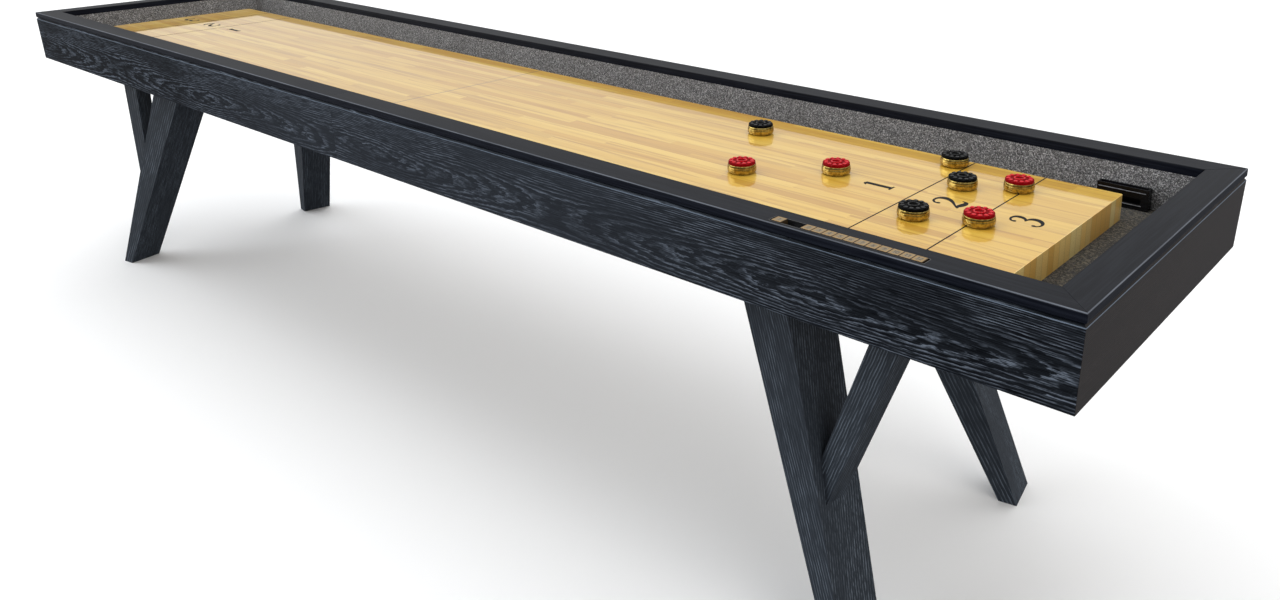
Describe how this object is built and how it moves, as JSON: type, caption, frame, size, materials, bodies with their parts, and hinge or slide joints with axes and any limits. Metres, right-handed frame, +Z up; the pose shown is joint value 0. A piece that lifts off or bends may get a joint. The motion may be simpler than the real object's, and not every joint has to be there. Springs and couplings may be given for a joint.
{
  "type": "shuffleboard table",
  "caption": "Long indoor shuffleboard table with a glossy butcher-block playfield in carpeted gutters, dark tapered Y-braced legs, sliding weighted pucks and a rail scorer.",
  "frame": {"origin": "on the floor under the centre of the cabinet", "axes": "+X along the table towards the end whose zones hold most pucks, the scorer being in the front (-Y) rail near that end; +Y across the table to the back; +Z up"},
  "size_m": [3.658, 0.8, 0.8228],
  "materials": {
    "ebonised_ash": "black-stained open-grain ash, satin",
    "rail_satin": "dark grey satin lacquer over wood",
    "deck_ply": "unfinished plywood",
    "frame_wood": "planed softwood",
    "carpet": "speckled charcoal loop carpet",
    "maple": "maple butcher block under a thick gloss coat",
    "marks": "thin black print",
    "steel": "zinc-plated",
    "track_black": "black extrusion",
    "holder_black": "black gloss moulding",
    "tile_wood": "clear-coated beech",
    "puck_metal": "polished gold-toned metal",
    "cap_red": "red moulding",
    "cap_black": "black moulding"
  },
  "bodies": {
    "table": {"apron_front_left": "ebonised_ash", "apron_front_right": "ebonised_ash", "apron_back_left": "ebonised_ash", "apron_back_right": "ebonised_ash", "apron_left": "ebonised_ash", "apron_right": "ebonised_ash", "rail_front_left": "rail_satin", "rail_front_right": "rail_satin", "rail_back_left": "rail_satin", "rail_back_right": "rail_satin", "rail_left": "rail_satin", "rail_right": "rail_satin", "deck_left": "deck_ply", "deck_right": "deck_ply", "carpet_left": "carpet", "carpet_right": "carpet", "playfield_left": "maple", "playfield_right": "maple", "score_marks": "marks", "cross_boards": "frame_wood", "frame_bolts": "steel", "climate_adjusters": "steel", "leg_front_left": "ebonised_ash", "leg_front_right": "ebonised_ash", "leg_back_left": "ebonised_ash", "leg_back_right": "ebonised_ash", "brace_front_left": "ebonised_ash", "brace_front_right": "ebonised_ash", "brace_back_left": "ebonised_ash", "brace_back_right": "ebonised_ash", "scorer_track": "track_black", "accessory_holder": "holder_black"},
    "puck_red_1": {"puck_red_1_base": "puck_metal", "puck_red_1_cap": "cap_red"},
    "puck_red_2": {"puck_red_2_base": "puck_metal", "puck_red_2_cap": "cap_red"},
    "puck_red_3": {"puck_red_3_base": "puck_metal", "puck_red_3_cap": "cap_red"},
    "puck_red_4": {"puck_red_4_base": "puck_metal", "puck_red_4_cap": "cap_red"},
    "puck_black_1": {"puck_black_1_base": "puck_metal", "puck_black_1_cap": "cap_black"},
    "puck_black_2": {"puck_black_2_base": "puck_metal", "puck_black_2_cap": "cap_black"},
    "puck_black_3": {"puck_black_3_base": "puck_metal", "puck_black_3_cap": "cap_black"},
    "puck_black_4": {"puck_black_4_base": "puck_metal", "puck_black_4_cap": "cap_black"},
    "score_tile_1": {"tile_1": "tile_wood"},
    "score_tile_2": {"tile_2": "tile_wood"},
    "score_tile_3": {"tile_3": "tile_wood"},
    "score_tile_4": {"tile_4": "tile_wood"},
    "score_tile_5": {"tile_5": "tile_wood"},
    "score_tile_6": {"tile_6": "tile_wood"},
    "score_tile_7": {"tile_7": "tile_wood"},
    "score_tile_8": {"tile_8": "tile_wood"},
    "score_tile_9": {"tile_9": "tile_wood"},
    "score_tile_10": {"tile_10": "tile_wood"},
    "score_tile_11": {"tile_11": "tile_wood"},
    "score_tile_12": {"tile_12": "tile_wood"}
  },
  "joints": [
    {"name": "puck_red_1_slide", "type": "slide", "parent": "table", "child": "puck_red_1", "axis": [1, 0, 0], "range_m": [-2.59, 0.29]},
    {"name": "puck_red_2_slide", "type": "slide", "parent": "table", "child": "puck_red_2", "axis": [1, 0, 0], "range_m": [-2.74, 0.459]},
    {"name": "puck_red_3_slide", "type": "slide", "parent": "table", "child": "puck_red_3", "axis": [1, 0, 0], "range_m": [-0.029, 0.108]},
    {"name": "puck_red_4_slide", "type": "slide", "parent": "table", "child": "puck_red_4", "axis": [1, 0, 0], "range_m": [-0.028, 0.131]},
    {"name": "puck_black_1_slide", "type": "slide", "parent": "table", "child": "puck_black_1", "axis": [1, 0, 0], "range_m": [-2.449, 0.331]},
    {"name": "puck_black_2_slide", "type": "slide", "parent": "table", "child": "puck_black_2", "axis": [1, 0, 0], "range_m": [-2.899, 0.3]},
    {"name": "puck_black_3_slide", "type": "slide", "parent": "table", "child": "puck_black_3", "axis": [1, 0, 0], "range_m": [-0.137, 0.033]},
    {"name": "puck_black_4_slide", "type": "slide", "parent": "table", "child": "puck_black_4", "axis": [1, 0, 0], "range_m": [-0.043, 0.031]},
    {"name": "tile_1_slide", "type": "slide", "parent": "table", "child": "score_tile_1", "axis": [1, 0, 0], "range_m": [-0.002, 0]},
    {"name": "tile_2_slide", "type": "slide", "parent": "table", "child": "score_tile_2", "axis": [1, 0, 0], "range_m": [-0.038, 0]},
    {"name": "tile_3_slide", "type": "slide", "parent": "table", "child": "score_tile_3", "axis": [1, 0, 0], "range_m": [-0.038, 0]},
    {"name": "tile_4_slide", "type": "slide", "parent": "table", "child": "score_tile_4", "axis": [1, 0, 0], "range_m": [-0.038, 0]},
    {"name": "tile_5_slide", "type": "slide", "parent": "table", "child": "score_tile_5", "axis": [1, 0, 0], "range_m": [-0.038, 0]},
    {"name": "tile_6_slide", "type": "slide", "parent": "table", "child": "score_tile_6", "axis": [1, 0, 0], "range_m": [-0.038, 0]},
    {"name": "tile_7_slide", "type": "slide", "parent": "table", "child": "score_tile_7", "axis": [1, 0, 0], "range_m": [-0.038, 0]},
    {"name": "tile_8_slide", "type": "slide", "parent": "table", "child": "score_tile_8", "axis": [1, 0, 0], "range_m": [-0.038, 0]},
    {"name": "tile_9_slide", "type": "slide", "parent": "table", "child": "score_tile_9", "axis": [1, 0, 0], "range_m": [-0.038, 0]},
    {"name": "tile_10_slide", "type": "slide", "parent": "table", "child": "score_tile_10", "axis": [1, 0, 0], "range_m": [-0.038, 0]},
    {"name": "tile_11_slide", "type": "slide", "parent": "table", "child": "score_tile_11", "axis": [1, 0, 0], "range_m": [-0.038, 0]},
    {"name": "tile_12_slide", "type": "slide", "parent": "table", "child": "score_tile_12", "axis": [1, 0, 0], "range_m": [-0.038, 0]}
  ],
  "couplings": [
    {"joint": "tile_3_slide", "follows": "tile_2_slide", "ratio": 1},
    {"joint": "tile_4_slide", "follows": "tile_2_slide", "ratio": 1},
    {"joint": "tile_5_slide", "follows": "tile_2_slide", "ratio": 1},
    {"joint": "tile_6_slide", "follows": "tile_2_slide", "ratio": 1},
    {"joint": "tile_7_slide", "follows": "tile_2_slide", "ratio": 1},
    {"joint": "tile_8_slide", "follows": "tile_2_slide", "ratio": 1},
    {"joint": "tile_9_slide", "follows": "tile_2_slide", "ratio": 1},
    {"joint": "tile_10_slide", "follows": "tile_2_slide", "ratio": 1},
    {"joint": "tile_11_slide", "follows": "tile_2_slide", "ratio": 1},
    {"joint": "tile_12_slide", "follows": "tile_2_slide", "ratio": 1}
  ]
}
